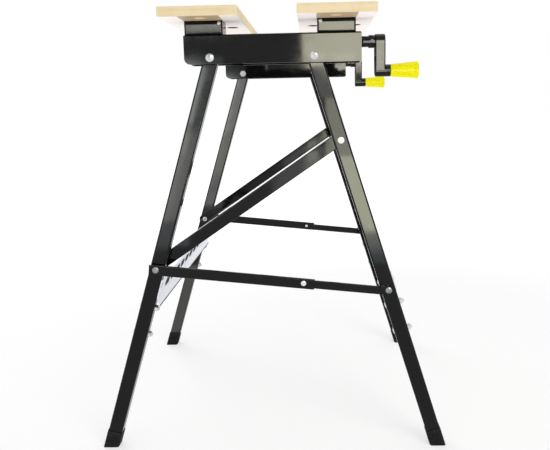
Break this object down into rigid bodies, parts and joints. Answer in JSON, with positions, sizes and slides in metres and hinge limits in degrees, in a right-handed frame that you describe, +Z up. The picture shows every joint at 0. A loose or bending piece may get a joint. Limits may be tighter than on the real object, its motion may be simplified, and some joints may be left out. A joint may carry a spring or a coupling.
{
  "type": "folding workbench",
  "caption": "Folding workbench on splayed steel legs, with wooden jaw boards that clamp work by crank-driven lead screws, knee stretchers and diagonal braces.",
  "frame": {"origin": "on the floor, midway between the feet", "axes": "+Z up, +X along the jaw boards to the right of someone at the cranks, +Y from the cranks to the rear"},
  "size_m": [0.605, 0.622, 0.7664],
  "materials": {
    "wood_board": "smooth pale wood",
    "black_paint": "glossy black powder coat",
    "zinc_steel": "zinc plated",
    "black_plastic": "moulded black plastic",
    "yellow_plastic": "glossy yellow plastic",
    "foot_plastic": "matt black plastic"
  },
  "bodies": {
    "frame": {"front_jaw_board": "wood_board", "front_board_screws": "zinc_steel", "rail_left": "black_paint", "rail_right": "black_paint", "front_bracket_left": "black_paint", "front_bracket_right": "black_paint", "front_bracket_rivets": "zinc_steel", "screw_bushes": "foot_plastic", "leg_pivot_bolts": "zinc_steel", "leg_pivot_nuts": "zinc_steel", "leg_pivot_spacers": "zinc_steel"},
    "rear_jaw": {"rear_jaw_board": "wood_board", "rear_board_screws": "zinc_steel", "rear_bracket_left": "black_paint", "rear_bracket_right": "black_paint", "screw_nut_left": "zinc_steel", "screw_nut_right": "zinc_steel"},
    "rear_legs": {"rear_leg_upper_left": "black_paint", "rear_leg_upper_right": "black_paint", "rear_leg_lower_left": "black_paint", "rear_leg_lower_right": "black_paint", "rear_foot_left": "foot_plastic", "rear_foot_right": "foot_plastic", "rear_cross_bar": "zinc_steel", "rear_leg_bolts": "zinc_steel", "rear_leg_nuts": "zinc_steel", "rear_hinge_bolts": "zinc_steel", "rear_hinge_nuts": "zinc_steel", "stretcher_sleeves": "zinc_steel"},
    "front_legs": {"front_leg_upper_left": "black_paint", "front_leg_upper_right": "black_paint", "front_leg_lower_left": "black_paint", "front_leg_lower_right": "black_paint", "front_foot_left": "foot_plastic", "front_foot_right": "foot_plastic", "front_cross_bar": "zinc_steel", "front_leg_bolts": "zinc_steel", "front_leg_nuts": "zinc_steel", "front_hinge_bolts": "zinc_steel", "front_hinge_nuts": "zinc_steel"},
    "crank_left": {"crank_left": "black_plastic", "lead_screw_left": "zinc_steel", "screw_collar_left": "zinc_steel", "crank_pin_left": "zinc_steel", "grip_spindle_left": "zinc_steel"},
    "grip_left": {"grip_left": "yellow_plastic"},
    "brace_left": {"brace_left": "black_paint"},
    "rear_stretcher_left": {"rear_stretcher_left": "black_paint", "knee_rivet_left": "zinc_steel"},
    "front_stretcher_left": {"front_stretcher_left": "black_paint"},
    "crank_right": {"crank_right": "black_plastic", "lead_screw_right": "zinc_steel", "screw_collar_right": "zinc_steel", "crank_pin_right": "zinc_steel", "grip_spindle_right": "zinc_steel"},
    "grip_right": {"grip_right": "yellow_plastic"},
    "brace_right": {"brace_right": "black_paint"},
    "rear_stretcher_right": {"rear_stretcher_right": "black_paint", "knee_rivet_right": "zinc_steel"},
    "front_stretcher_right": {"front_stretcher_right": "black_paint"}
  },
  "joints": [
    {"name": "rear_jaw_slide", "type": "slide", "parent": "frame", "child": "rear_jaw", "axis": [0, -1, 0], "range_m": [0, 0.0915]},
    {"name": "front_legs_fold", "type": "hinge", "parent": "frame", "child": "front_legs", "pos_m": [0, -0.0856, 0.69093], "axis": [1, 0, 0], "range_deg": [0, 82]},
    {"name": "rear_legs_fold", "type": "hinge", "parent": "frame", "child": "rear_legs", "pos_m": [0, 0.0856, 0.69093], "axis": [1, 0, 0], "range_deg": [0, 48.08]},
    {"name": "crank_left_turn", "type": "hinge", "parent": "frame", "child": "crank_left", "pos_m": [-0.235, 0, 0.71293], "axis": [0, 1, 0], "range_deg": [0, 8235.02]},
    {"name": "grip_left_spin", "type": "hinge", "parent": "crank_left", "child": "grip_left", "pos_m": [-0.235, -0.2345, 0.66543], "axis": [0, 1, 0], "continuous": true},
    {"name": "brace_left_hinge", "type": "hinge", "parent": "rear_legs", "child": "brace_left", "pos_m": [-0.235, 0.1948, 0.33375], "axis": [1, 0, 0], "range_deg": [-28.36, 0]},
    {"name": "rear_stretcher_left_hinge", "type": "hinge", "parent": "rear_legs", "child": "rear_stretcher_left", "pos_m": [-0.235, 0.1948, 0.33375], "axis": [1, 0, 0], "range_deg": [-70.73, 0]},
    {"name": "front_stretcher_left_hinge", "type": "hinge", "parent": "front_legs", "child": "front_stretcher_left", "pos_m": [-0.235, -0.20781, 0.29119], "axis": [1, 0, 0], "range_deg": [0, 53.2]},
    {"name": "crank_right_turn", "type": "hinge", "parent": "frame", "child": "crank_right", "pos_m": [0.235, 0, 0.71293], "axis": [0, 1, 0], "range_deg": [0, 8235.02]},
    {"name": "grip_right_spin", "type": "hinge", "parent": "crank_right", "child": "grip_right", "pos_m": [0.235, -0.2345, 0.66543], "axis": [0, 1, 0], "continuous": true},
    {"name": "brace_right_hinge", "type": "hinge", "parent": "rear_legs", "child": "brace_right", "pos_m": [0.235, 0.1948, 0.33375], "axis": [1, 0, 0], "range_deg": [-28.36, 0]},
    {"name": "rear_stretcher_right_hinge", "type": "hinge", "parent": "rear_legs", "child": "rear_stretcher_right", "pos_m": [0.235, 0.1948, 0.33375], "axis": [1, 0, 0], "range_deg": [-70.73, 0]},
    {"name": "front_stretcher_right_hinge", "type": "hinge", "parent": "front_legs", "child": "front_stretcher_right", "pos_m": [0.235, -0.20781, 0.29119], "axis": [1, 0, 0], "range_deg": [0, 53.2]}
  ],
  "couplings": [
    {"joint": "rear_legs_fold", "follows": "front_legs_fold", "ratio": 0.58606},
    {"joint": "brace_left_hinge", "follows": "front_legs_fold", "ratio": -0.34562},
    {"joint": "rear_stretcher_left_hinge", "follows": "front_legs_fold", "ratio": -0.86226},
    {"joint": "front_stretcher_left_hinge", "follows": "front_legs_fold", "ratio": 0.64848},
    {"joint": "brace_right_hinge", "follows": "front_legs_fold", "ratio": -0.34562},
    {"joint": "rear_stretcher_right_hinge", "follows": "front_legs_fold", "ratio": -0.86226},
    {"joint": "front_stretcher_right_hinge", "follows": "front_legs_fold", "ratio": 0.64848},
    {"joint": "crank_left_turn", "follows": "rear_jaw_slide", "rad_per_m": 1570.8},
    {"joint": "crank_right_turn", "follows": "rear_jaw_slide", "rad_per_m": 1570.8}
  ]
}
